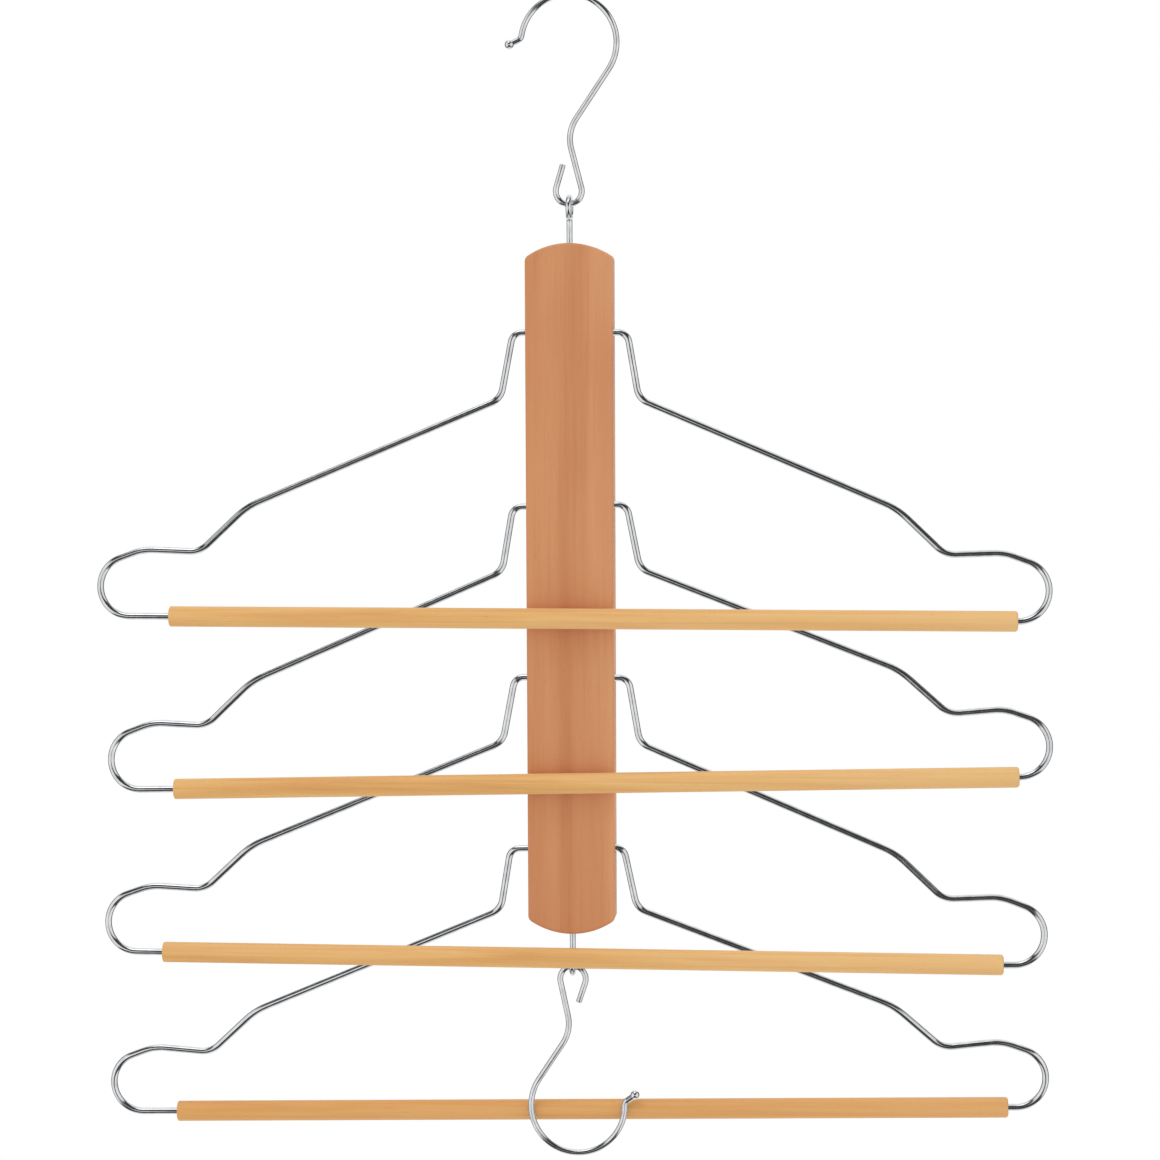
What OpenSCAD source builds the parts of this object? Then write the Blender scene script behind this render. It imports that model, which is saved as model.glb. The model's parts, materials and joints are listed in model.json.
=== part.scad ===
// Four-tier clothes hanger: a hardwood centre board hangs from a swivelling wire hook and carries
// four bent wire tiers, one above the other. Each tier ends in a loose round wooden bar, and a
// second hook hangs from the bottom of the board. Millimetres, X across, -Y to the front, Z up.
// The origin is the centre of the top hook's bowl, where the rail passes.

/* [Centre board] */
// Width of the board
board_w = 40.5; // [36:0.5:50]
// Thickness of the board
board_t = 14; // [10:0.5:16]
// Distance from the nearest axle to the tip of the board, at the top and at the bottom
end_margin = [41, 39.6]; // [36:0.1:60]
// Radius of the curved board ends
board_end_r = 34; // [26:1:60]
// Bevel along all edges of the board
board_bevel = 1.2; // [0.4:0.1:2]
// Distance between one tier's axle and the next
tier_pitch = 80; // [74:0.5:100]
// Diameter of the cross bores that the tier wires turn in
axle_bore_d = 4.2; // [3.9:0.1:6]

/* [Tier wires] */
// Diameter of the tier wire
wire_d = 3.2; // [2.6:0.1:3.6]
// Height of each hand-bent tier, from its axle down to its bar, top tier first
tier_drop = [132, 128.5, 130.5, 124.5]; // [118:0.5:136]
// Sideways lean of each tier in its loose bore, right end down, in degrees
tier_lean = [0.1, -1.3, 0.1, -1.3]; // [-1.4:0.1:1.4]
// Half the width of each tier, from the middle of its axle to the middle of the wire
tier_reach = [219.5, 218, 218.5, 220]; // [205:0.5:240]
// Where each tier has slid to along its bore, to the right
tier_slide = [0, -0.5, 0, -2.5]; // [-2.5:0.5:2.5]
// Height that the shoulder corners below are given for
nominal_drop = 129; // [120:0.5:140]
// Where the wire turns down beside the board, measured from the middle
neck_out = 26.5; // [26:0.5:32]
// Foot of the neck, [out, down] from the middle of the axle
neck_foot = [32, 30]; // [20:0.5:40]
// Outer end of the sloping shoulder, [out, down]
shoulder_end = [150.5, 79]; // [60:0.5:170]
// Lowest corner of the strap notch, [out, down]
strap_notch = [172.5, 99.5]; // [80:0.5:190]
// Radius of the round loop at each end
end_loop_r = 14; // [12:0.5:16]
// Slope of the wire where it runs into the end loop, in degrees
end_loop_slope = 20; // [10:1:30]
// Distance from the corner of the bump to the start of the end loop
end_loop_run = 11.6; // [10:0.2:14]
// Bend radii: top of neck, foot of neck, shoulder end, strap notch
bend_r = [5.2, 8.8, 35, 11.5]; // [4:0.1:40]
// Bend radius of the bump outside the strap notch
bump_r = 24; // [12:0.5:26]

/* [Bars] */
// Diameter of the wooden bars
bar_d = 9.5; // [8:0.5:11]
// Length of the wooden bars
bar_length = 392; // [380:1:396]
// Bevel at the ends of a bar
bar_bevel = 1.4; // [0.5:0.1:2.5]
// Diameter of the bore in each end of a bar
bar_bore_d = 3.4; // [3.3:0.05:4.5]
// Depth of the bore in each end of a bar
bar_bore_depth = 32; // [30:1:45]
// Where each bar has slid to along its wire ends, to the right, top tier first
bar_slide = [9.5, 8, 4, 6.5]; // [-8.5:0.5:9.5]

/* [Hooks] */
// Diameter of the hook wire
hook_wire_d = 2.8; // [2.6:0.1:3.2]
// Radius of the hook bowls, to the middle of the wire
bowl_r = 22; // [18:0.5:26]
// Arc of the bowls, in degrees, top hook and bottom hook
bowl_sweep = [205, 215]; // [190:1:220]
// Straight run from neck to bowl, top hook and bottom hook
hook_shank = [26.8, 20.3]; // [18:0.5:40]
// Straight run from eye to neck, top hook and bottom hook
hook_lead = [18.4, 16.4]; // [14:0.1:30]
// Radius of the neck bend
hook_neck_r = 17; // [8:1:20]
// Angle of the neck bend, in degrees, top hook and bottom hook
hook_neck_turn = [48.5, 46]; // [40:0.5:60]
// Radius of the hooks' bent eyes
hook_eye_r = 6; // [5.5:0.5:7]
// Length of the free end that closes an eye, top hook and bottom hook
hook_tail = [11, 9.5]; // [8:0.5:12]
// Length of the turned-out tip, and the angle that it turns
hook_tip = [4.5, 56]; // [3:0.5:60]
// Diameter of the bead at the tip
bead_d = 4.3; // [3.8:0.1:5]
// Sideways lean of the bottom hook, in degrees
bottom_hook_lean = 0.5; // [0:0.1:3]

/* [Screw eyes] */
// Wire diameter of the screw eyes
eye_wire_d = 2.8; // [2.4:0.1:3]
// Radius of the closed ring, to the middle of the wire
ring_r = 4.7; // [4.4:0.1:5.5]
// How far the top and the bottom screw eye stand out of the board
eye_stand = [22.3, 20.9]; // [16:0.1:26]
// Depth of the threaded part in the wood
screw_depth = 17; // [12:1:22]
// Pitch of the wood thread
thread_pitch = 1.4; // [1.2:0.1:1.8]
// Core diameter of the thread, which is the pilot hole's diameter
core_d = 2.1; // [1.9:0.1:2.2]

/* [Hidden] */
$fn = 40;

tiers = 4;
// Air left between neighbours that rest against each other
gap = 0.3;
// Number of flats round a bent wire, and the largest angle between one ring of a bend and the next
wire_sides = 12;
bend_step = 10;
board_length = (tiers - 1) * tier_pitch + end_margin[0] + end_margin[1];
// How far from the middle of its tier a wire ends, inside the bar
stub_tip = 176;
// How far the bottom hook pushes the lowest bar back
bar_4_setback = 1.8;
// Distance between the middles of two wires that hang in each other
link_rise = (hook_wire_d + eye_wire_d) / 2 + gap;
// Angles of the hook's eye, from its lowest point to the lead and to the free end
eye_to_lead = 102;
eye_to_tail = 109;

WOOD = [0.79, 0.53, 0.35];
PALE_WOOD = [0.89, 0.69, 0.44];
CHROME = [0.74, 0.75, 0.77];

// ---- Bent wire -------------------------------------------------------------------------------

// A wire is a bend table: each step is [straight run, turn to the left in degrees, bend radius]

// Place and heading [x, y, angle] after one step
function advance(at, step) =
    let (a = at[2], b = a + step[1], r = sign(step[1]) * step[2])
    [at.x + step[0] * cos(a) + r * (sin(b) - sin(a)),
     at.y + step[0] * sin(a) + r * (cos(a) - cos(b)), b];

// Place and heading after the first n steps
function follow(steps, n) = n == 0 ? [0, 0, 0] : advance(follow(steps, n - 1), steps[n - 1]);

// Turn to the left at corner i of a line of points, in degrees
function turn_at(p, i) =
    let (u = p[i] - p[i - 1], v = p[i + 1] - p[i])
    atan2(u.x * v.y - u.y * v.x, u.x * v.x + u.y * v.y);

// Length that the bend at corner i takes from the straight on each side of it
function trim(p, r, i) = i == 0 || i == len(p) - 1 ? 0 : r[i] * tan(abs(turn_at(p, i)) / 2);

// Bend table of a line of points whose corner i is rounded to radius r[i]
function bend_table(p, r) = [
    for (i = [1 : len(p) - 1])
    let (last = i == len(p) - 1, run = norm(p[i] - p[i - 1]) - trim(p, r, i - 1) - trim(p, r, i))
    [run, last ? 0 : turn_at(p, i), last ? 0 : r[i]]];

// Places and headings along a wire: its start, both ends of each straight, and rings round each bend
function stations(steps) = concat([[0, 0, 0]], [
    for (i = [0 : len(steps) - 1])
    let (run = steps[i][0], turn = steps[i][1], foot = advance(follow(steps, i), [run, 0, 0]),
         rings = ceil(abs(turn) / bend_step))
    for (k = [(run > 0 ? 0 : 1) : rings])
    k == 0 ? foot : advance(foot, [0, turn * k / rings, steps[i][2]])]);

// The wire of a bend table, in the X-Y plane from the origin along +X
module bent_wire(steps, d) {
    stops = stations(steps);
    m = wire_sides;
    points = [for (s = stops, k = [0 : m - 1]) let (a = 360 * (k + 0.5) / m)
        [s.x - d / 2 * cos(a) * sin(s[2]), s.y + d / 2 * cos(a) * cos(s[2]), d / 2 * sin(a)]];
    skin = [for (r = [0 : len(stops) - 2], k = [0 : m - 1], half = [0, 1])
        let (here = r * m, next = here + m, n = (k + 1) % m)
        half == 0 ? [here + k, next + n, here + n] : [here + k, next + k, next + n]];
    first_end = [for (k = [0 : m - 1]) k];
    last_end = [for (k = [m - 1 : -1 : 0]) (len(stops) - 1) * m + k];
    polyhedron(points, concat(skin, [first_end, last_end]), convexity = 8);
}

// ---- Hooks -----------------------------------------------------------------------------------

// From the lowest point of the eye to the right, round the eye, up the lead, neck, shank and bowl
function hook_steps(i) = [
    [0, eye_to_lead, hook_eye_r],
    [hook_lead[i], -hook_neck_turn[i], hook_neck_r],
    [hook_shank[i], bowl_sweep[i], bowl_r],
    [0, -hook_tip[1], hook_wire_d],
    [hook_tip[0], 0, 0]];

// Centre of the bowl, seen from the lowest point of the eye
function bowl_centre(i) =
    let (at = follow(hook_steps(i), 2), s = hook_shank[i], a = at[2])
    [at.x + s * cos(a) - bowl_r * sin(a), at.y + s * sin(a) + bowl_r * cos(a)];

// Upright hook with the lowest point of its eye at the origin: 0 is the top hook, 1 the bottom one
module hook(i) {
    steps = hook_steps(i);
    tip = follow(steps, len(steps));
    // The free end of the eye, reached from its lowest point the other way round
    tail = follow([[0, eye_to_tail, hook_eye_r], [hook_tail[i], 0, 0]], 2);
    whole = concat([[hook_tail[i], eye_to_tail + eye_to_lead, hook_eye_r]],
                   [for (n = [1 : len(steps) - 1]) steps[n]]);
    color(CHROME) rotate([90, 0, 0]) {
        translate([-tail.x, tail.y, 0]) rotate([0, 0, -tail[2]]) bent_wire(whole, hook_wire_d);
        translate([tip.x, tip.y, 0]) sphere(d = bead_d, $fn = wire_sides);
    }
}

// ---- Levels, from the top hook's bowl downwards -----------------------------------------------

top_link_z = -norm(bowl_centre(0));
board_top_z = top_link_z + link_rise + eye_wire_d / 2 - eye_stand[0];
board_bottom_z = board_top_z - board_length;
bottom_link_z = board_bottom_z - eye_stand[1] + eye_wire_d / 2 + link_rise;

function axle_z(i) = board_top_z - end_margin[0] - i * tier_pitch;

// How far in front of its axle each bar rests: on the board, on the bottom eye, behind the hook
bar_rest = [board_t / 2, board_t / 2, ring_r + eye_wire_d / 2];
function bar_forward(i) = i == 3 ? -bar_4_setback : bar_rest[i] + bar_d / 2 + gap;
function tier_tilt(i) = asin(bar_forward(i) / tier_drop[i]);

// The bottom hook hangs tilted forward, just clear of the lowest bar
bar_4_below = bottom_link_z - axle_z(3) + tier_drop[3];
bottom_hook_tilt = asin(((bar_d + hook_wire_d) / 2 + gap - bar_4_setback) / bar_4_below);

module top_hook() {
    lean = atan2(bowl_centre(0).x, bowl_centre(0).y);
    translate([0, 0, top_link_z]) rotate([0, -lean, 0]) hook(0);
}

module bottom_hook() {
    translate([0, 0, bottom_link_z])
        rotate([-bottom_hook_tilt, 0, 0])
            rotate([0, 180 - bottom_hook_lean, 0]) hook(1);
}

// ---- Screw eyes --------------------------------------------------------------------------------

// Wood screw thread as a row of sharp ridges below z = 0, down to a point
module screw_thread() {
    ridges = floor(screw_depth / thread_pitch) - 1;
    tip = screw_depth - ridges * thread_pitch;
    rotate_extrude() polygon(concat(
        [[0, -screw_depth], [core_d / 2, -screw_depth + tip]],
        [for (k = [ridges - 1 : -1 : 0], side = [0.5, 0])
            [side > 0 ? eye_wire_d / 2 : core_d / 2, -(k + side) * thread_pitch]],
        [[0, 0]]));
}

// Screw eye pointing up, with the surface of the wood at z = 0
module screw_eye(stand) {
    ring_z = stand - eye_wire_d / 2 - ring_r;
    color(CHROME) {
        translate([0, 0, ring_z]) rotate([0, 90, 0])
            rotate_extrude() translate([ring_r, 0]) circle(d = eye_wire_d);
        cylinder(d = eye_wire_d, h = ring_z - ring_r);
        screw_thread();
    }
}

module top_screw_eye() {
    translate([0, 0, board_top_z]) screw_eye(eye_stand[0]);
}

module bottom_screw_eye() {
    translate([0, 0, board_bottom_z]) rotate([180, 0, 0]) screw_eye(eye_stand[1]);
}

// ---- Centre board ------------------------------------------------------------------------------

// Bevelled rim of a plate, seen in section: x outwards, y across the plate
function rim(half, t, b) = [
    [half - b, -t / 2], [half, -t / 2 + b], [half, t / 2 - b], [half - b, t / 2]];

// Round end of the board, bevelled all round its rim, with its tip at z = 0 and its axis along Y
module board_end() {
    edge = rim(board_end_r, board_t, board_bevel);
    translate([0, 0, -board_end_r]) rotate([90, 0, 0]) rotate_extrude($fn = 96)
        polygon(concat([[0, -board_t / 2]], edge, [[0, board_t / 2]]));
}

module board_blank() {
    straight = board_length - 2 * board_end_r;
    right = rim(board_w / 2, board_t, board_bevel);
    left = [for (n = [3 : -1 : 0]) [-right[n].x, right[n].y]];
    intersection() {
        translate([0, 0, board_bottom_z - 1]) linear_extrude(board_length + 2)
            polygon(concat(right, left));
        union() {
            translate([0, 0, board_top_z]) board_end();
            translate([0, 0, board_bottom_z]) rotate([180, 0, 0]) board_end();
            translate([-board_w / 2, -board_t / 2, board_bottom_z + board_end_r])
                cube([board_w, board_t, straight]);
        }
    }
}

module centre_board() {
    color(WOOD) difference() {
        board_blank();
        for (i = [0 : tiers - 1]) translate([-board_w, 0, axle_z(i)])
            rotate([0, 90, 0]) cylinder(d = axle_bore_d, h = 2 * board_w);
        for (z = [board_top_z - screw_depth, board_bottom_z - 1]) translate([0, 0, z])
            cylinder(d = core_d, h = screw_depth + 1);
    }
}

// ---- Tiers -------------------------------------------------------------------------------------

// Bend table of a tier's right half, from the middle of its axle to the end of the wire in the bar
function tier_steps(drop, reach) =
    let (k = drop / nominal_drop, loop = [reach - end_loop_r, end_loop_r - drop],
         slope = end_loop_slope, loop_start = loop + end_loop_r * [sin(slope), cos(slope)],
         bump = loop_start - end_loop_run * [cos(slope), -sin(slope)],
         corners = [[0, 0], [neck_out, 0], [neck_foot.x, -k * neck_foot.y],
                    [shoulder_end.x, -k * shoulder_end.y], [strap_notch.x, -k * strap_notch.y],
                    bump, loop_start],
         table = bend_table(corners, concat([0], bend_r, [bump_r, 0])), last = len(table) - 1)
    concat([for (n = [0 : last - 1]) table[n]],
           [[table[last][0], slope - 180, end_loop_r], [loop.x - stub_tip, 0, 0]]);

// Moves a tier from its own X-Z plane with the axle at the origin to its place on the board
module on_axle(i) {
    translate([0, 0, axle_z(i)]) rotate([-tier_tilt(i), 0, 0]) rotate([0, tier_lean[i], 0])
        translate([tier_slide[i], 0, 0]) children();
}

module tier_wire(i) {
    half = tier_steps(tier_drop[i], tier_reach[i]);
    n = len(half);
    // From the left bar end up to the axle, across the board, and down the right half
    up = [for (k = [n - 1 : -1 : 1]) [half[k][0], half[k - 1][1], half[k - 1][2]]];
    across = [2 * half[0][0], half[0][1], half[0][2]];
    down = [for (k = [1 : n - 1]) half[k]];
    color(CHROME) on_axle(i) rotate([90, 0, 0]) translate([-stub_tip, -tier_drop[i], 0])
        rotate([0, 0, 180]) bent_wire(concat(up, [across], down), wire_d);
}

module tier_bar(i) {
    color(PALE_WOOD) on_axle(i) translate([bar_slide[i], 0, -tier_drop[i]]) rotate([0, 90, 0])
        difference() {
            for (end = [0, 1]) mirror([0, 0, end]) rotate_extrude() polygon([
                [0, 0], [bar_d / 2, 0], [bar_d / 2, bar_length / 2 - bar_bevel],
                [bar_d / 2 - bar_bevel, bar_length / 2], [0, bar_length / 2]]);
            for (end = [0, 1]) mirror([0, 0, end]) translate([0, 0, bar_length / 2 - bar_bore_depth])
                cylinder(d = bar_bore_d, h = bar_bore_depth + 1);
        }
}

top_hook();
top_screw_eye();
centre_board();
bottom_screw_eye();
bottom_hook();
for (i = [0 : tiers - 1]) {
    tier_wire(i);
    tier_bar(i);
}
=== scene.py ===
"""Looks of a four-tier clothes hanger, built round its CAD frame.

Each wire is swept again along the CAD part's own bend table as one smooth skin, and the board and the bars
are cut and rounded as the real wood is. Lengths are in metres: X across, -Y to the front, Z up.
"""

import bmesh
import bpy
import json
import math
from mathutils import Matrix, Vector


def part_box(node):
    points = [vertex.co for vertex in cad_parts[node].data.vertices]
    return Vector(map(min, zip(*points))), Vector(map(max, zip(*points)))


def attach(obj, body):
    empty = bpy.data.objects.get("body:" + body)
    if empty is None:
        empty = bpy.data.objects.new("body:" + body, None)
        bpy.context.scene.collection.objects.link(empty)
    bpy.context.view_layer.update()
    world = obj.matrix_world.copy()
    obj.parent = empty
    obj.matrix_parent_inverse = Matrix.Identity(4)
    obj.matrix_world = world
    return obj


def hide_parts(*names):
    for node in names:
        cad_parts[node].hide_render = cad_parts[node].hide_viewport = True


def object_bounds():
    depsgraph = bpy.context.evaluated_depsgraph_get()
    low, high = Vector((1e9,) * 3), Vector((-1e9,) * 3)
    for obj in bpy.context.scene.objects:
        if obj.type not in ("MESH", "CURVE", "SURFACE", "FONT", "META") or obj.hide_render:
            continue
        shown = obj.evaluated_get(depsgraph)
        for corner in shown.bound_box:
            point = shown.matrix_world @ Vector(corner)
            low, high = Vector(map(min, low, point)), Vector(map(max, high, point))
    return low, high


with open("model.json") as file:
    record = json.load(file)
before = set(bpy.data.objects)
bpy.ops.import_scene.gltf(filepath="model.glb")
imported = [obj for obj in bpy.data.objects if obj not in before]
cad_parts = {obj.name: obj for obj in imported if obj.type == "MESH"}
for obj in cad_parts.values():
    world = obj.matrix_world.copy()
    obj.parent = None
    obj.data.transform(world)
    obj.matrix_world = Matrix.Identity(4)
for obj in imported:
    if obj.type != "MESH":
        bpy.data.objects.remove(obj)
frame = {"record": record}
CAD_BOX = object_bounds()
MM = 0.001
TIERS = (1, 2, 3, 4)

# ---- Driving dimensions, as in the CAD part --------------------------------------------------------

# Corners of the tier wires are (out, down) from the middle of the axle, on a tier of the nominal drop
WIRE_D = 3.2 * MM
NOMINAL_DROP = 129 * MM
NECK_OUT = 26.5 * MM
NECK_FOOT = (32 * MM, 30 * MM)
SHOULDER_END = (150.5 * MM, 79 * MM)
STRAP_NOTCH = (172.5 * MM, 99.5 * MM)
# Bend radii: top of neck, foot of neck, shoulder end, strap notch, bump outside the notch
BEND_R = (5.2 * MM, 8.8 * MM, 35 * MM, 11.5 * MM, 24 * MM)
END_LOOP_R = 14 * MM
END_LOOP_SLOPE = math.radians(20)
# Distance from the corner of the bump to the start of the end loop
END_LOOP_RUN = 11.6 * MM
# How far from the middle of its tier a wire ends, inside the bar
STUB_TIP = 176 * MM
# Half the width of each tier, and how far it has slid to the right in its bore
TIER_REACH = {1: 219.5 * MM, 2: 218 * MM, 3: 218.5 * MM, 4: 220 * MM}
TIER_SLIDE = {1: 0, 2: -0.5 * MM, 3: 0, 4: -2.5 * MM}

HOOK_WIRE_D = 2.8 * MM
BOWL_R = 22 * MM
BOWL_SWEEP = {"top_hook": math.radians(205), "bottom_hook": math.radians(215)}
# Straight runs: neck to bowl, eye to neck, and the free end that closes the eye
HOOK_SHANK = {"top_hook": 26.8 * MM, "bottom_hook": 20.3 * MM}
HOOK_LEAD = {"top_hook": 18.4 * MM, "bottom_hook": 16.4 * MM}
HOOK_TAIL = {"top_hook": 11 * MM, "bottom_hook": 9.5 * MM}
HOOK_NECK_R = 17 * MM
HOOK_NECK_TURN = {"top_hook": math.radians(48.5), "bottom_hook": math.radians(46)}
HOOK_EYE_R = 6 * MM
# Arcs of the eye from its lowest point to its two straight ends
EYE_TO_LEAD = math.radians(102)
EYE_TO_TAIL = math.radians(109)
# Length of the turned-out tip, and the angle that it turns
HOOK_TIP = (4.5 * MM, math.radians(56))
BEAD_D = 4.3 * MM
BOTTOM_HOOK_LEAN = math.radians(0.5)
BOTTOM_HOOK_TILT = math.radians(3.89241)

EYE_WIRE_D = 2.8 * MM
RING_R = 4.7 * MM
SCREW_DEPTH = 17 * MM
THREAD_PITCH = 1.4 * MM
CORE_D = 2.1 * MM

BOARD_END_R = 34 * MM
BOARD_ROUNDING = 1.2 * MM
BAR_D = 9.5 * MM
BAR_LENGTH = 392 * MM
BAR_BORE_D = 3.4 * MM
BAR_BORE_DEPTH = 32 * MM

# ---- Detail that only the visual model has -----------------------------------------------------------

RING_SIDES = 24
BEND_STEP = math.radians(5)
# The wires' ends are filed round to a depth that is a share of the radius, with a ring at each angle
FILED_DEPTH = 0.3
FILED_ANGLES = [math.radians(a) for a in (70, 45, 20, 0)]
BEAD_RINGS = 14
# Radius of the last ring at the bead's pole, as a share of the bead's radius
BEAD_POLE = 0.02

# Radius of the bend that leads the screw eye's stem into its ring, and the arc of the ring
EYE_BEND_R = 2 * MM
EYE_ARC = math.radians(326)
THREAD_RINGS_PER_TURN = 10
# The screw's point: about its length, and its width at the tip as a share of the full width
THREAD_POINT = 3 * MM
THREAD_TIP = 0.06
# Rise of a ridge to its crest over one pitch, which makes it two thirds of the pitch wide
RIDGE_RISE = 3

# A little wider than the CAD part's 4.2 mm, so that the flats of wire and bore stay apart in every pose
BORE_D = 4.3 * MM
BORE_FLATS = 48
BOARD_ARC_PARTS = 24
BOARD_CORNER_R = 1.5 * MM
BEVEL_SEGMENTS = 4
BAR_SIDES = 48
BAR_PARTS = 24
BAR_LEFT_ROUNDING = 0.5 * MM
BAR_RIGHT_ROUNDING = 1.4 * MM
# Angle in degrees above which an edge of the wood or the thread stays sharp
EDGE_SHARP = 50

# ---- Bent wire -------------------------------------------------------------------------------------


def advance(at, run, turn, radius):
    """Place and heading (x, y, angle) after a straight run and a turn to the left."""
    x, y, a = at
    r = math.copysign(radius, turn)
    b = a + turn
    return (x + run * math.cos(a) + r * (math.sin(b) - math.sin(a)),
            y + run * math.sin(a) + r * (math.cos(a) - math.cos(b)), b)


def stations(steps, start):
    """Places and headings along a wire of (run, turn, radius) steps."""
    stops, at = [start], start
    for run, turn, radius in steps:
        if run > 0:
            at = advance(at, run, 0, 0)
            stops.append(at)
        parts = math.ceil(abs(turn) / BEND_STEP)
        for k in range(1, parts + 1):
            stops.append(advance(at, 0, turn * k / parts, radius))
        at = stops[-1]
    return stops


def turn_at(points, i):
    """Angle that the line through points turns to the left at points[i]."""
    u, v = points[i] - points[i - 1], points[i + 1] - points[i]
    return math.atan2(u.x * v.y - u.y * v.x, u.dot(v))


def bend_table(points, radii):
    """Steps of the wire through points, with corner i rounded to radii[i]."""
    last = len(points) - 1
    turns = [0] + [turn_at(points, i) for i in range(1, last)] + [0]
    trims = [r * math.tan(abs(t) / 2) for r, t in zip(radii, turns)]
    return [((points[i] - points[i - 1]).length - trims[i - 1] - trims[i], turns[i], radii[i])
            for i in range(1, last + 1)]


def mesh_object(name, bm, sharp=40):
    """New object from a bmesh, smooth but for edges sharper than that many degrees."""
    bmesh.ops.recalc_face_normals(bm, faces=bm.faces)
    mesh = bpy.data.meshes.new(name)
    bm.to_mesh(mesh)
    bm.free()
    mesh.shade_smooth()
    mesh.set_sharp_from_angle(angle=math.radians(sharp))
    obj = bpy.data.objects.new(name, mesh)
    bpy.context.scene.collection.objects.link(obj)
    return obj


def sweep(bm, rings, sides=RING_SIDES):
    """Closed skin over rings of (centre, across, up, radius), where a radius may depend on the angle."""
    loops = []
    for centre, across, up, radius in rings:
        ring = []
        for k in range(sides):
            a = math.tau * k / sides
            r = radius(a) if callable(radius) else radius
            ring.append(bm.verts.new(centre + (across * math.cos(a) + up * math.sin(a)) * r))
        loops.append(ring)
    for here, there in zip(loops, loops[1:]):
        for k in range(sides):
            n = (k + 1) % sides
            bm.faces.new((here[k], there[k], there[n], here[n]))
    bm.faces.new(loops[0])
    bm.faces.new(list(reversed(loops[-1])))


def wire_rings(stops, d, place):
    """Rings of a wire of stations in a plane, put in the part's frame by place."""
    turned = place.to_3x3()
    up = (turned @ Vector((0, 0, 1))).normalized()
    rings = []
    for x, y, a in stops:
        across = (turned @ Vector((-math.sin(a), math.cos(a), 0))).normalized()
        rings.append((place @ Vector((x, y, 0)), across, up, d / 2))
    return rings


def filed(rings):
    """The same rings, with the first replaced by those of a filed end."""
    centre, across, up, r = rings[0]
    inward = (rings[1][0] - centre).normalized() * r * FILED_DEPTH
    end = [(centre + inward * (1 - math.sin(a)), across, up, r * (1 - FILED_DEPTH * (1 - math.cos(a))))
           for a in FILED_ANGLES]
    # The smallest ring is the rim of the end face
    end[0] = (centre,) + end[0][1:]
    return end + rings[1:]


def filed_last(rings):
    """The same rings, with the last replaced by those of a filed end."""
    return filed(rings[::-1])[::-1]


# ---- Tiers -----------------------------------------------------------------------------------------


def joint(name):
    """(place, axis) of a joint at rest."""
    for j in frame["record"]["behaviour"]["joints"]:
        if j["name"] == name:
            return Vector(j["pos_m"]), Vector(j["axis"]).normalized()
    raise ValueError(name)


def middle(node):
    """Centre of a CAD node's box."""
    lo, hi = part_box(node)
    return (lo + hi) / 2


def tier_frame(i):
    """(matrix from the tier's own plane to the part's frame, drop from axle to bar) of tier i."""
    axle, _ = joint(f"tier_{i}_swing")
    across = joint(f"bar_{i}_spin")[1]
    down = middle(f"tier_{i}_bar") - axle
    down -= across * down.dot(across)
    up = -down.normalized()
    place = Matrix((across, up, across.cross(up))).transposed().to_4x4()
    place.translation = axle + across * TIER_SLIDE[i]
    return place, down.length


def tier_half(drop, reach):
    """Steps from the middle of the axle to the end of the wire inside the bar, on the right."""
    k = drop / NOMINAL_DROP
    loop = Vector((reach - END_LOOP_R, END_LOOP_R - drop))
    slope = Vector((math.cos(END_LOOP_SLOPE), -math.sin(END_LOOP_SLOPE)))
    start = loop + Vector((-slope.y, slope.x)) * END_LOOP_R
    corners = [Vector((0, 0)), Vector((NECK_OUT, 0))]
    corners += [Vector((x, -k * y)) for x, y in (NECK_FOOT, SHOULDER_END, STRAP_NOTCH)]
    corners += [start - slope * END_LOOP_RUN, start]
    table = bend_table(corners, (0,) + BEND_R + (0,))
    run = table.pop()[0]
    return table + [(run, END_LOOP_SLOPE - math.pi, END_LOOP_R), (loop.x - STUB_TIP, 0, 0)]


def tier_wire(i):
    """The wire of tier i, from its left end up, across through the board and down on the right."""
    place, drop = tier_frame(i)
    half = tier_half(drop, TIER_REACH[i])
    # The left half has the runs and the bends of the right half in the opposite order
    up = [(half[k][0], half[k - 1][1], half[k - 1][2]) for k in range(len(half) - 1, 0, -1)]
    across = [(2 * half[0][0], half[0][1], half[0][2])]
    stops = stations(up + across + half[1:], (-STUB_TIP, -drop, math.pi))
    bm = bmesh.new()
    sweep(bm, filed_last(filed(wire_rings(stops, WIRE_D, place))))
    obj = mesh_object(f"tier_{i}_wire_chrome", bm)
    finish_piece(obj, chrome, "chrome_wire", f"tier_{i}", f"tier_{i}_wire")


# ---- Hooks -----------------------------------------------------------------------------------------


def hook_steps(name):
    """Steps from the free end of the eye, by the neck, round the bowl to the tip."""
    return [(HOOK_TAIL[name], EYE_TO_TAIL + EYE_TO_LEAD, HOOK_EYE_R),
            (HOOK_LEAD[name], -HOOK_NECK_TURN[name], HOOK_NECK_R),
            (HOOK_SHANK[name], BOWL_SWEEP[name], BOWL_R),
            (0, -HOOK_TIP[1], HOOK_WIRE_D),
            (HOOK_TIP[0], 0, 0)]


def beaded(rings):
    """The same rings, with the last replaced by those of a bead."""
    centre, across, up, r = rings[-1]
    along = (centre - rings[-2][0]).normalized()
    bead = BEAD_D / 2
    first = math.asin(r / bead)
    angles = [first + (math.pi - first) * k / BEAD_RINGS for k in range(BEAD_RINGS)]
    ball = [(centre - along * bead * math.cos(a), across, up, bead * math.sin(a)) for a in angles]
    return rings[:-1] + ball + [(centre + along * bead, across, up, bead * BEAD_POLE)]


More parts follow.
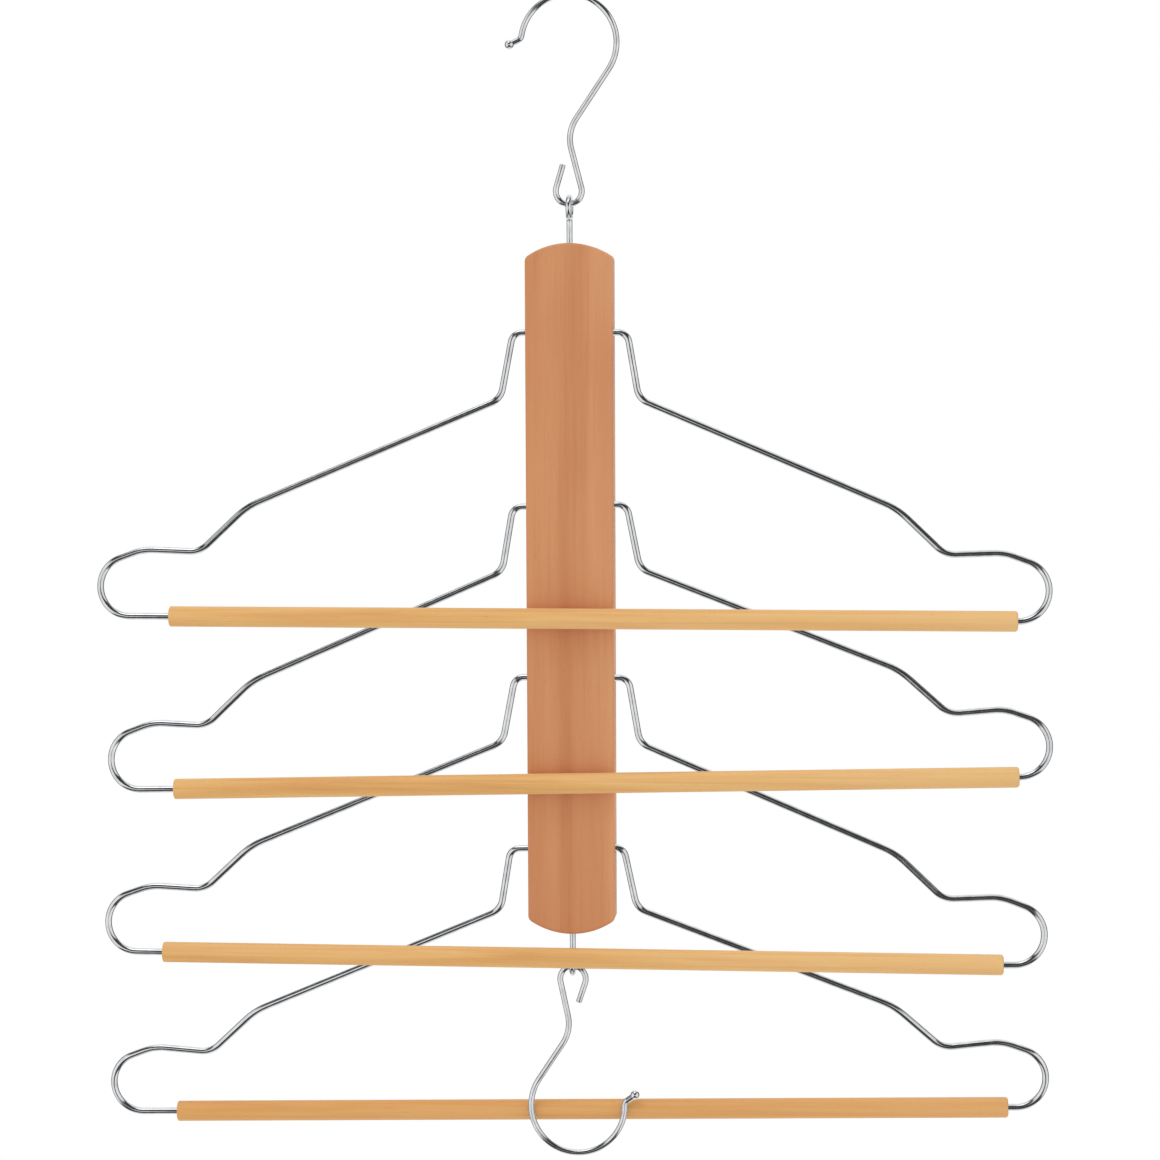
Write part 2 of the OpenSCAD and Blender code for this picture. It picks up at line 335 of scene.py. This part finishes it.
def hook_place(name):
    """Matrix to the part's frame from the hook's own plane, whose origin is the lowest point of the eye."""
    at = advance((0, 0, 0), 0, EYE_TO_LEAD, HOOK_EYE_R)
    at = advance(at, HOOK_LEAD[name], -HOOK_NECK_TURN[name], HOOK_NECK_R)
    x, y, a = advance(at, HOOK_SHANK[name], 0, 0)
    bowl = Vector((x - BOWL_R * math.sin(a), y + BOWL_R * math.cos(a)))
    upright = Matrix.Rotation(math.pi / 2, 4, "X")
    if name == "top_hook":
        # The middle of the bowl is straight above the eye
        link = joint("board_swing")[0]
        return Matrix.Translation(link) @ Matrix.Rotation(-math.atan2(bowl.x, bowl.y), 4, "Y") @ upright
    link = joint("bottom_hook_swing")[0]
    return (Matrix.Translation(link) @ Matrix.Rotation(-BOTTOM_HOOK_TILT, 4, "X")
            @ Matrix.Rotation(math.pi - BOTTOM_HOOK_LEAN, 4, "Y") @ upright)


def hook(name):
    """A hook of one wire: a filed free end, the eye, the neck, the bowl and the bead at its tip."""
    # The free end of the eye, reached from its lowest point the other way round
    x, y, a = advance(advance((0, 0, 0), 0, EYE_TO_TAIL, HOOK_EYE_R), HOOK_TAIL[name], 0, 0)
    stops = stations(hook_steps(name), (-x, y, -a))
    bm = bmesh.new()
    sweep(bm, beaded(filed(wire_rings(stops, HOOK_WIRE_D, hook_place(name)))))
    obj = mesh_object(f"{name}_chrome", bm)
    finish_piece(obj, chrome, "chrome_wire", name, name)


# ---- Screw eyes --------------------------------------------------------------------------------------


def thread_rings():
    """(centre, radius) of the wood screw's rings, from its point up to the surface of the wood at z = 0."""
    count = int(SCREW_DEPTH / THREAD_PITCH * THREAD_RINGS_PER_TURN)
    rings = []
    for k in range(count + 1):
        z = -SCREW_DEPTH + SCREW_DEPTH * k / count
        taper = min(1, THREAD_TIP + (z + SCREW_DEPTH) / THREAD_POINT)

        def radius(a, z=z, taper=taper):
            phase = (z / THREAD_PITCH - a / math.tau) % 1
            ridge = max(0, 1 - abs(phase - 0.5) * RIDGE_RISE)
            fade = min(1, max(0, -z / THREAD_PITCH))
            return taper * (CORE_D / 2 + (EYE_WIRE_D - CORE_D) / 2 * (ridge * fade + (1 - fade)))

        rings.append((Vector((0, 0, z)), radius))
    return rings


def screw_eye(name):
    """The stem leaves the wood, bends aside and closes round into the ring, whose cut end meets the stem."""
    lo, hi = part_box(name)
    board_lo, board_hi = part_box("centre_board")
    on_top = name == "top_screw_eye"
    surface = board_hi.z if on_top else board_lo.z
    stand = hi.z - surface if on_top else surface - lo.z
    ring_z = stand - EYE_WIRE_D / 2 - RING_R
    rise = ring_z - math.sqrt(RING_R ** 2 + 2 * RING_R * EYE_BEND_R)
    lean = math.atan2(EYE_BEND_R, ring_z - rise)
    steps = [(rise, math.pi / 2 - lean, EYE_BEND_R), (0, -EYE_ARC, RING_R)]
    upright = Matrix(((0, 0, 1, 0), (1, 0, 0, 0), (0, 1, 0, 0), (0, 0, 0, 1)))
    stem = filed_last(wire_rings(stations(steps, (0, 0, math.pi / 2)), EYE_WIRE_D, upright))[1:]
    # The thread's rings go on into those of the stem, in the same order round
    screw = [(centre, stem[0][1], stem[0][2], radius) for centre, radius in thread_rings()]
    bm = bmesh.new()
    sweep(bm, screw + stem)
    obj = mesh_object(f"{name}_chrome", bm, sharp=EDGE_SHARP)
    flip = Matrix.Identity(4) if on_top else Matrix.Rotation(math.pi, 4, "X")
    obj.data.transform(Matrix.Translation((0, 0, surface)) @ flip)
    finish_piece(obj, chrome, "chrome_wire", "board", name)


# ---- Wood ------------------------------------------------------------------------------------------


def board_outline(half, low, high):
    """Points round the board, in order."""
    reach = math.asin(half / BOARD_END_R)
    arc = [reach - 2 * reach * k / BOARD_ARC_PARTS for k in range(BOARD_ARC_PARTS + 1)]
    top = [Vector((BOARD_END_R * math.sin(a), 0, high - BOARD_END_R * (1 - math.cos(a)))) for a in arc]
    bottom = [Vector((-p.x, 0, low + high - p.z)) for p in top]
    return top + bottom


def drilled(obj, axis, places, d, length):
    """Drills round bores through obj, whose flats all lie outside a cylinder of width d."""
    r = d / 2 / math.cos(math.pi / BORE_FLATS)
    for at in places:
        bm = bmesh.new()
        bmesh.ops.create_cone(bm, cap_ends=True, segments=BORE_FLATS, radius1=r, radius2=r, depth=length)
        tool = mesh_object("bore_tool", bm)
        if axis == "X":
            tool.data.transform(Matrix.Rotation(math.pi / 2, 4, "Y"))
        tool.data.transform(Matrix.Translation(at))
        cut = obj.modifiers.new("bore", "BOOLEAN")
        cut.object, cut.operation, cut.solver = tool, "DIFFERENCE", "EXACT"
        done = bpy.data.meshes.new_from_object(obj.evaluated_get(bpy.context.evaluated_depsgraph_get()))
        obj.modifiers.clear()
        obj.data = done
        bpy.data.objects.remove(tool)


def depth_of(edge):
    """How far an edge runs from front to back."""
    return abs(edge.verts[0].co.y - edge.verts[1].co.y)


def bevelled(bm, edges, least, width):
    """Rounds those of the edges whose faces meet at more than least degrees."""
    sharp = [e for e in edges if e.calc_face_angle(0) > math.radians(least)]
    bmesh.ops.bevel(bm, geom=sharp, offset=width, segments=BEVEL_SEGMENTS, profile=0.5, affect="EDGES")


def centre_board():
    """The board, with its outline rounded at the corners and the rim, cross bores and pilot holes."""
    lo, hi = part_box("centre_board")
    bm = bmesh.new()
    front = [bm.verts.new(p + Vector((0, lo.y, 0))) for p in board_outline(hi.x, lo.z, hi.z)]
    face = bm.faces.new(front)
    out = bmesh.ops.extrude_face_region(bm, geom=[face])
    back = [v for v in out["geom"] if isinstance(v, bmesh.types.BMVert)]
    bmesh.ops.translate(bm, verts=back, vec=(0, hi.y - lo.y, 0))
    bmesh.ops.recalc_face_normals(bm, faces=bm.faces)
    bevelled(bm, [e for e in bm.edges if depth_of(e) > MM], 20, BOARD_CORNER_R)
    bevelled(bm, [e for e in bm.edges if depth_of(e) < 0.01 * MM], 60, BOARD_ROUNDING)
    obj = mesh_object("centre_board_wood", bm, sharp=EDGE_SHARP)
    drilled(obj, "X", [joint(f"tier_{i}_swing")[0] for i in TIERS], BORE_D, 3 * (hi.x - lo.x))
    drilled(obj, "Z", [Vector((0, 0, hi.z)), Vector((0, 0, lo.z))], CORE_D, 2 * SCREW_DEPTH)
    obj.data.shade_smooth()
    obj.data.set_sharp_from_angle(angle=math.radians(EDGE_SHARP))
    obj.modifiers.new("even", "WEIGHTED_NORMAL").keep_sharp = True
    finish_piece(obj, board_wood, "board_wood", "board", "centre_board")


def round_over(x_end, inward, rounding, steps=6):
    """(along, radius) points from the rim of an end face to the side of the bar."""
    r = BAR_D / 2
    return [(x_end + inward * rounding * (1 - math.sin(a)), r - rounding * (1 - math.cos(a)))
            for a in (math.pi / 2 * (1 - k / steps) for k in range(steps + 1))]


def tier_bar(i):
    """Dowel with a bore in each end: the left end is cut square, the right end is rounded over."""
    centre, across = middle(f"tier_{i}_bar"), joint(f"bar_{i}_spin")[1]
    half, bore = BAR_LENGTH / 2, BAR_BORE_D / 2
    left = round_over(-half, 1, BAR_LEFT_ROUNDING)
    right = round_over(half, -1, BAR_RIGHT_ROUNDING)[::-1]
    side = [(-half + (2 * half) * k / BAR_PARTS, BAR_D / 2) for k in range(1, BAR_PARTS)]
    profile = [(-half + BAR_BORE_DEPTH, bore), (-half, bore)] + left + side + right
    profile += [(half, bore), (half - BAR_BORE_DEPTH, bore)]
    out = Vector((0, 0, 1)).cross(across).normalized()
    up = across.cross(out)
    bm = bmesh.new()
    sweep(bm, [(centre + across * s, out, up, r) for s, r in profile], sides=BAR_SIDES)
    obj = mesh_object(f"tier_{i}_bar_wood", bm, sharp=EDGE_SHARP)
    finish_piece(obj, bar_wood, "bar_wood", f"bar_{i}", f"tier_{i}_bar")


def finish_piece(obj, material, slot, body, node):
    """Gives a piece its material, the body that it rides on and the CAD node that it replaces; the slot name
    only decides whether the piece shows in reflections.
    """
    obj.data.materials.clear()
    obj.data.materials.append(material)
    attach(obj, body)
    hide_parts(node)
    # The plating mirrors the studio and not the wood, so the wires stay a clear grey beside the bars
    obj.visible_glossy = slot == "chrome_wire"


# ---- Materials -------------------------------------------------------------------------------------


def linear(r, g, b):
    """Scene colour of a screen colour of 0 to 255."""
    return tuple(((c / 255 + 0.055) / 1.055) ** 2.4 for c in (r, g, b)) + (1,)


# Colours of the finishes. The tones are the (place, colour) stops of a ramp through the broad pattern
CHROME_TONES = ((0.3, linear(210, 212, 215)), (0.7, linear(237, 238, 240)))
BOARD_TONES = ((0.30, linear(208, 134, 85)), (0.46, linear(218, 147, 98)), (0.58, linear(226, 158, 107)),
               (0.72, linear(234, 169, 118)))
BOARD = {"middle": linear(200, 126, 80), "right edge": linear(244, 182, 134), "clouds": linear(208, 130, 86),
         "streaks": linear(186, 114, 70), "fibres": linear(238, 178, 128), "pores": linear(150, 88, 52)}
BAR_TONES = ((0.30, linear(229, 166, 96)), (0.48, linear(241, 184, 110)), (0.60, linear(246, 194, 122)),
             (0.72, linear(240, 180, 118)))
BAR = {"streaks": linear(214, 148, 80), "fibres": linear(250, 208, 146), "right end": linear(254, 212, 150),
       "lowest": linear(230, 158, 88), "pores": linear(186, 122, 66), "end grain": linear(186, 124, 72)}
WOOD_GLOSS = 0.3
PLATING_IOR = 2.5
BUMP_DEPTH = 0.05 * MM


class Nodes:
    """Short calls for the nodes that the materials and the sky share."""

    def __init__(self, tree):
        self.tree = tree

    def node(self, kind, **values):
        made = self.tree.nodes.new(kind)
        for key, value in values.items():
            setattr(made, key, value)
        return made

    def link(self, a, b):
        self.tree.links.new(a, b)

    def feed(self, socket, value):
        """Links a node's output to a socket, or sets the socket's number, grey or colour."""
        if isinstance(value, bpy.types.NodeSocket):
            self.link(value, socket)
        elif socket.type == "RGBA" and not isinstance(value, tuple):
            socket.default_value = (value, value, value, 1)
        else:
            socket.default_value = value

    def axes(self, vector):
        """Outputs X, Y and Z of a vector."""
        made = self.node("ShaderNodeSeparateXYZ")
        self.link(vector, made.inputs["Vector"])
        return made.outputs

    def maths(self, operation, *terms):
        """Result of a Math node on numbers or other nodes' outputs."""
        made = self.node("ShaderNodeMath", operation=operation)
        for socket, term in zip(made.inputs, terms):
            self.feed(socket, term)
        return made.outputs["Value"]

    def ramp(self, fac, *stops):
        """Colour ramp through (place, colour or grey) stops."""
        made = self.node("ShaderNodeValToRGB")
        points = made.color_ramp.elements
        while len(points) < len(stops):
            points.new(0.5)
        for point, (place, colour) in zip(points, stops):
            point.position = place
            point.color = colour if isinstance(colour, tuple) else (colour, colour, colour, 1)
        self.link(fac, made.inputs["Fac"])
        return made.outputs["Color"]

    def mix(self, fac, a, b, blend="MIX"):
        """Colour a mixed with b by fac. Each may be a number or a node's output."""
        made = self.node("ShaderNodeMix", data_type="RGBA", blend_type=blend)
        for name, value in (("Factor", fac), ("A", a), ("B", b)):
            self.feed(made.inputs[name], value)
        return next(o for o in made.outputs if o.type == "RGBA")


class Looks(Nodes):
    """Node tree of one material, with its shader's constants as keywords."""

    def __init__(self, name, **sockets):
        self.material = bpy.data.materials.new(name)
        self.material.use_nodes = True
        super().__init__(self.material.node_tree)
        self.shader = self.tree.nodes["Principled BSDF"]
        for socket, value in sockets.items():
            self.shader.inputs[socket.replace("_", " ")].default_value = value
        self.coords = self.node("ShaderNodeTexCoord").outputs["Object"]

    def noise(self, cells, detail=3, rough=0.5, distortion=0.0, offset=(0, 0, 0)):
        """Noise with about cells[i] cells a metre along axis i."""
        place = self.node("ShaderNodeMapping")
        place.inputs["Scale"].default_value = cells
        place.inputs["Location"].default_value = offset
        self.link(self.coords, place.inputs["Vector"])
        made = self.node("ShaderNodeTexNoise")
        values = {"Scale": 1, "Detail": detail, "Roughness": rough, "Distortion": distortion}
        for key, value in values.items():
            made.inputs[key].default_value = value
        self.link(place.outputs["Vector"], made.inputs["Vector"])
        return made.outputs["Fac"]

    def layer(self, tone, fac, low, high, most, colour):
        """The tone with a colour laid over it: none of it up to low, and its largest share from high on."""
        return self.mix(self.ramp(fac, (low, 0.0), (high, most)), tone, colour)

    def bump(self, height, strength=0.15):
        """Bump of BUMP_DEPTH from a height of 0 to 1."""
        made = self.node("ShaderNodeBump")
        made.inputs["Strength"].default_value = strength
        made.inputs["Distance"].default_value = BUMP_DEPTH
        self.link(height, made.inputs["Height"])
        self.link(made.outputs["Normal"], self.shader.inputs["Normal"])

    def wood_surface(self, tone, streaks, fibres, pores, roughness):
        """Colour, a roughness between two values along the streaks, and a bump of fibres and pores."""
        least, most = roughness
        self.link(tone, self.shader.inputs["Base Color"])
        self.link(self.ramp(streaks, (0.3, least), (0.7, most)), self.shader.inputs["Roughness"])
        self.bump(self.mix(0.5, fibres, self.mix(pores, 1.0, 0.0)))


def chrome_look():
    """Bright plating with faint polishing haze and a few dull specks."""
    m = Looks("chrome_wire", Metallic=1.0, IOR=PLATING_IOR)
    haze = m.noise((220, 220, 220), detail=4)
    specks = m.noise((1500, 1500, 1500), detail=2, offset=(3, 1, 2))
    m.link(m.ramp(haze, *CHROME_TONES), m.shader.inputs["Base Color"])
    dull = m.layer(m.ramp(haze, (0.3, 0.07), (0.75, 0.15)), specks, 0.62, 0.75, 1.0, 0.26)
    m.link(dull, m.shader.inputs["Roughness"])
    m.bump(m.noise((900, 900, 900)), strength=0.12)
    return m.material


def board_look():
    """Reddish hardwood: soft broad bands, faint streaks and a few short pores that run along the board."""
    m = Looks("board_wood", Specular_IOR_Level=WOOD_GLOSS)
    bands = m.noise((80, 40, 2.2), detail=1.5, distortion=0.25, offset=(0.4, 0, 0))
    tone = m.ramp(bands, *BOARD_TONES)
    # The middle of the board is a little darker, and the right edge a little lighter
    side = m.maths("MULTIPLY_ADD", m.axes(m.coords)["X"], 24, 0.5)
    tone = m.mix(m.ramp(side, (0.15, 0.0), (0.48, 0.30), (0.80, 0.0)), tone, BOARD["middle"])
    tone = m.layer(tone, side, 0.62, 0.95, 0.30, BOARD["right edge"])
    clouds = m.noise((34, 30, 11), detail=2, offset=(8, 4, 2))
    tone = m.layer(tone, clouds, 0.40, 0.68, 0.42, BOARD["clouds"])
    streaks = m.noise((620, 400, 9), rough=0.6, offset=(5, 2, 1))
    tone = m.layer(tone, streaks, 0.52, 0.68, 0.18, BOARD["streaks"])
    fibres = m.noise((2200, 1800, 45), rough=0.6, offset=(1, 7, 3))
    tone = m.layer(tone, fibres, 0.35, 0.70, 0.14, BOARD["fibres"])
    pores = m.ramp(m.noise((2000, 1800, 240), detail=2, offset=(2, 3, 9)), (0.68, 0.0), (0.74, 1.0))
    tone = m.mix(m.mix(pores, 0.0, 0.2), tone, BOARD["pores"])
    m.wood_surface(tone, streaks, fibres, pores, roughness=(0.42, 0.55))
    return m.material


def bar_look():
    """Pale honey dowel with long faint streaks, pinker patches and darker end grain."""
    m = Looks("bar_wood", Specular_IOR_Level=WOOD_GLOSS)
    patches = m.noise((7, 130, 130), detail=2, distortion=0.4)
    tone = m.ramp(patches, *BAR_TONES)
    streaks = m.noise((6, 700, 700), rough=0.6, offset=(4, 1, 5))
    tone = m.layer(tone, streaks, 0.50, 0.68, 0.42, BAR["streaks"])
    fibres = m.noise((40, 2600, 2600), rough=0.6, offset=(9, 2, 2))
    tone = m.layer(tone, fibres, 0.35, 0.70, 0.25, BAR["fibres"])
    # The right end of the bars is a little lighter than the left end, and the lowest bar is of redder wood
    place = m.axes(m.coords)
    tone = m.layer(tone, m.maths("MULTIPLY_ADD", place["X"], 2.5, 0.5), 0.45, 1.0, 0.45, BAR["right end"])
    height = m.maths("MULTIPLY_ADD", place["Z"], 10, 5.2)
    tone = m.mix(m.ramp(height, (0.45, 0.42), (0.75, 0.0)), tone, BAR["lowest"])
    pores = m.ramp(m.noise((170, 2600, 2600), detail=2, offset=(7, 7, 1)), (0.68, 0.0), (0.74, 1.0))
    tone = m.mix(m.mix(pores, 0.0, 0.3), tone, BAR["pores"])
    facing = m.axes(m.node("ShaderNodeTexCoord").outputs["Normal"])
    tone = m.layer(tone, m.maths("ABSOLUTE", facing["X"]), 0.8, 0.97, 0.55, BAR["end grain"])
    m.wood_surface(tone, streaks, fibres, pores, roughness=(0.4, 0.52))
    return m.material


# ---- Studio ----------------------------------------------------------------------------------------

FLOOR_R = 12
FLOOR_BELOW = 0.12
FLOOR_GREY = 0.9
FLOOR_GLOW = 0.45

# Greys of the sky: what lights the wood, and the parts of the room that the plating mirrors
SKY_LIGHT = 0.80
SKY_WALLS = 0.92
SKY_CEILING = 0.85
SKY_BACKDROP = 0.95
SKY_BACKDROP_SIDES = 0.14
SKY_DARK = 0.05
# The light walls are a wedge: its spread, where it starts, and how far below level its middle is
WEDGE = (1.05, -0.04, 0.04)

KEY_AT = (-0.5, -0.7, 1.3)
KEY_AIM = (0, 0, -0.25)
KEY_SIZE = (1.2, 0.8)
KEY_WATTS = 4

CAMERA_DISTANCE = 1.5
CAMERA_PITCH, CAMERA_YAW, CAMERA_ROLL = math.radians(4.6), math.radians(5.3), math.radians(0.25)
SENSOR_MM = 36
# Width of the view at that distance, and how far its middle is to the right of and below tier 1's axle
VIEW_WIDTH = 0.535
VIEW_RIGHT, VIEW_BELOW = 4.1 * MM, 114.15 * MM


def floor():
    """Plain white floor below the hanging object, seen from above only."""
    lo, _ = CAD_BOX
    bm = bmesh.new()
    bmesh.ops.create_circle(bm, cap_ends=True, segments=64, radius=FLOOR_R)
    bmesh.ops.translate(bm, verts=bm.verts, vec=(0, 0, lo.z - FLOOR_BELOW))
    obj = mesh_object("studio_floor", bm)
    m = Looks("studio_floor", Roughness=0.9, Base_Color=(FLOOR_GREY, FLOOR_GREY, FLOOR_GREY, 1),
              Emission_Color=(1, 1, 1, 1), Emission_Strength=FLOOR_GLOW)
    clear, out = m.node("ShaderNodeBsdfTransparent"), m.tree.nodes["Material Output"]
    side = m.node("ShaderNodeMixShader")
    m.link(m.node("ShaderNodeNewGeometry").outputs["Backfacing"], side.inputs["Fac"])
    m.link(m.shader.outputs["BSDF"], side.inputs[1])
    m.link(clear.outputs["BSDF"], side.inputs[2])
    m.link(side.outputs["Shader"], out.inputs["Surface"])
    obj.data.materials.append(m.material)
    obj.visible_glossy = False


def studio_sky():
    """White room for the camera and the wood, and a darker one that the plating mirrors.

    The second has light walls at the left and right, a light ceiling, light straight below, and a white
    backdrop with dark sides behind.
    """
    world = bpy.data.worlds.new("studio")
    world.use_nodes = True
    bpy.context.scene.world = world
    sky = Nodes(world.node_tree)
    direction = sky.axes(sky.node("ShaderNodeTexCoord").outputs["Generated"])

    def grey(value, *stops):
        """Grey that follows a value from -1 to 1 through (place, grey) stops."""
        share = sky.maths("MULTIPLY_ADD", value, 0.5, 0.5)
        return sky.ramp(share, *[((place + 1) / 2, level) for place, level in stops])

    spread, start, below = WEDGE
    across = sky.maths("MULTIPLY_ADD", sky.maths("ABSOLUTE", direction["X"]), spread, start)
    away = sky.maths("ABSOLUTE", sky.maths("ADD", direction["Z"], below))
    room = grey(sky.maths("SUBTRACT", across, away), (-0.06, SKY_DARK), (0.10, SKY_WALLS))
    above_below = grey(direction["Z"], (-1, 1.0), (-0.90, 0.6), (-0.82, 0.0), (0.86, 0.0), (0.93, 1.0))
    room = sky.mix(above_below, room, SKY_CEILING)
    room = sky.mix(grey(direction["Y"], (0.0, 0.0), (0.3, 1.0)), room, SKY_BACKDROP)
    left_right = grey(direction["X"], (-0.62, 1.0), (-0.48, 0.0), (0.48, 0.0), (0.62, 1.0))
    behind = grey(direction["Y"], (0.0, 0.0), (0.25, 1.0))
    room = sky.mix(sky.mix(1.0, left_right, behind, "MULTIPLY"), room, SKY_BACKDROP_SIDES)
    path = sky.node("ShaderNodeLightPath").outputs
    colour = sky.mix(path["Is Glossy Ray"], sky.mix(path["Is Camera Ray"], SKY_LIGHT, 1.0), room)
    sky.link(colour, sky.tree.nodes["Background"].inputs["Color"])


def key_light():
    """Softbox in front of the object, up on the left."""
    light = bpy.data.lights.new("key", "AREA")
    light.shape, light.energy = "RECTANGLE", KEY_WATTS
    light.size, light.size_y = KEY_SIZE
    obj = bpy.data.objects.new("key", light)
    obj.location = KEY_AT
    obj.rotation_euler = (Vector(KEY_AIM) - Vector(KEY_AT)).to_track_quat("-Z", "Y").to_euler()
    bpy.context.scene.collection.objects.link(obj)


def camera():
    """Camera a little to the right, about level with tier 1's axle and looking slightly down."""
    pitch, yaw, roll = CAMERA_PITCH, CAMERA_YAW, CAMERA_ROLL
    target = joint("tier_1_swing")[0]
    tip = Matrix(((1, 0, 0),
                  (0, math.cos(pitch), -math.sin(pitch)),
                  (0, math.sin(pitch), math.cos(pitch))))
    swing = Matrix(((math.cos(yaw), math.sin(yaw), 0),
                    (-math.sin(yaw), math.cos(yaw), 0),
                    (0, 0, 1)))
    back = (tip @ swing).transposed()
    right = back @ Vector((math.cos(roll), 0, -math.sin(roll)))
    up = back @ Vector((math.sin(roll), 0, math.cos(roll)))
    data = bpy.data.cameras.new("camera")
    data.sensor_width, data.lens = SENSOR_MM, SENSOR_MM * CAMERA_DISTANCE / VIEW_WIDTH
    obj = bpy.data.objects.new("camera", data)
    place = Matrix((right, up, right.cross(up))).transposed().to_4x4()
    place.translation = target + back @ Vector((VIEW_RIGHT, -CAMERA_DISTANCE, -VIEW_BELOW))
    obj.matrix_world = place
    bpy.context.scene.collection.objects.link(obj)
    bpy.context.scene.camera = obj


chrome, board_wood, bar_wood = chrome_look(), board_look(), bar_look()
centre_board()
screw_eye("top_screw_eye")
screw_eye("bottom_screw_eye")
hook("top_hook")
hook("bottom_hook")
for i in TIERS:
    tier_wire(i)
    tier_bar(i)
floor()
studio_sky()
key_light()
camera()
bpy.context.scene.view_settings.view_transform = "Standard"
